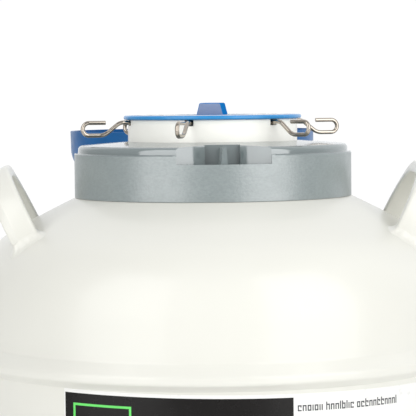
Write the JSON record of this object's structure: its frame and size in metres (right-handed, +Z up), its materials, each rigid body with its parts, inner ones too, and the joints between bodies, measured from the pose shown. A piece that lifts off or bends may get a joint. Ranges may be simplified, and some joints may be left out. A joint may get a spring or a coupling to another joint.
{
  "type": "liquid nitrogen dewar",
  "caption": "Insulated storage flask with a plugged neck, hinged hood, carrying handles and hanging wire-handled canisters.",
  "frame": {"origin": "on the flask's axis, on the surface that the foot ring stands on", "axes": "+Z up along the flask's axis, -Y towards the front, where the collar's lock recess is"},
  "size_m": [0.4606, 0.6199, 0.69],
  "materials": {
    "shell_paint": "gloss",
    "bare_aluminium": "satin",
    "glass_fibre": "satin",
    "wrap": "satin",
    "foot_rubber": "matte",
    "cap_plastic": "matte",
    "ring_plastic": "satin",
    "collar_plastic": "satin",
    "hood_plastic": "satin",
    "lid_plastic": "satin",
    "plug_foam": "matte",
    "label_sheet": "gloss",
    "fasteners": "satin",
    "canister_sheet": "satin",
    "handle_wire": "polished"
  },
  "bodies": {
    "flask": {"outer_shell_upper": "shell_paint", "outer_shell_lower": "shell_paint", "carry_handle_left": "shell_paint", "carry_handle_right": "shell_paint", "inner_vessel": "bare_aluminium", "neck_flange": "bare_aluminium", "canister_spacer": "bare_aluminium", "adsorbent_tray": "bare_aluminium", "evacuation_tube": "bare_aluminium", "neck_tube": "glass_fibre", "insulation_blanket": "wrap", "foot_ring": "foot_rubber", "evacuation_cap": "cap_plastic", "neck_ring": "ring_plastic", "collar": "collar_plastic", "drum_label": "label_sheet", "neck_ring_screws": "fasteners", "hinge_pin": "fasteners"},
    "hood_flap": {"hood": "hood_plastic"},
    "lid_assembly": {"lid_disc": "lid_plastic", "lid_grip": "lid_plastic", "lid_plug": "plug_foam", "lid_label": "label_sheet", "grip_screws": "fasteners"},
    "hanging_canister_1": {"canister_1": "canister_sheet", "canister_handle_1": "handle_wire"},
    "hanging_canister_2": {"canister_2": "canister_sheet", "canister_handle_2": "handle_wire"},
    "hanging_canister_3": {"canister_3": "canister_sheet", "canister_handle_3": "handle_wire"},
    "hanging_canister_4": {"canister_4": "canister_sheet", "canister_handle_4": "handle_wire"},
    "hanging_canister_5": {"canister_5": "canister_sheet", "canister_handle_5": "handle_wire"},
    "hanging_canister_6": {"canister_6": "canister_sheet", "canister_handle_6": "handle_wire"}
  },
  "joints": [
    {"name": "hood_hinge", "type": "hinge", "parent": "flask", "child": "hood_flap", "pos_m": [-0.01078, 0.13116, 0.6534], "axis": [-0.9966, -0.0819, 0], "range_deg": [-180, 0]},
    {"name": "lid_lift", "type": "slide", "parent": "flask", "child": "lid_assembly", "axis": [0, 0, 1], "range_m": [0, 0.2]},
    {"name": "canister_1_swing", "type": "hinge", "parent": "flask", "child": "hanging_canister_1", "pos_m": [-0.06792, -0.01693, 0.6714], "axis": [0.2419, -0.9703, 0], "range_deg": [0, 2.4]},
    {"name": "canister_2_swing", "type": "hinge", "parent": "flask", "child": "hanging_canister_2", "pos_m": [-0.01765, -0.06774, 0.6714], "axis": [0.9677, -0.2521, 0], "range_deg": [0, 2.4]},
    {"name": "canister_3_swing", "type": "hinge", "parent": "flask", "child": "hanging_canister_3", "pos_m": [0.0488, -0.05018, 0.6714], "axis": [0.7169, 0.6972, 0], "range_deg": [0, 2.4]},
    {"name": "canister_4_swing", "type": "hinge", "parent": "flask", "child": "hanging_canister_4", "pos_m": [0.06735, 0.01906, 0.6714], "axis": [-0.2723, 0.9622, 0], "range_deg": [0, 2.4]},
    {"name": "canister_5_swing", "type": "hinge", "parent": "flask", "child": "hanging_canister_5", "pos_m": [0.01882, 0.06742, 0.6714], "axis": [-0.9632, 0.2689, 0], "range_deg": [0, 2.4]},
    {"name": "canister_6_swing", "type": "hinge", "parent": "flask", "child": "hanging_canister_6", "pos_m": [-0.0488, 0.05018, 0.6714], "axis": [-0.7169, -0.6972, 0], "range_deg": [0, 2.4]}
  ]
}
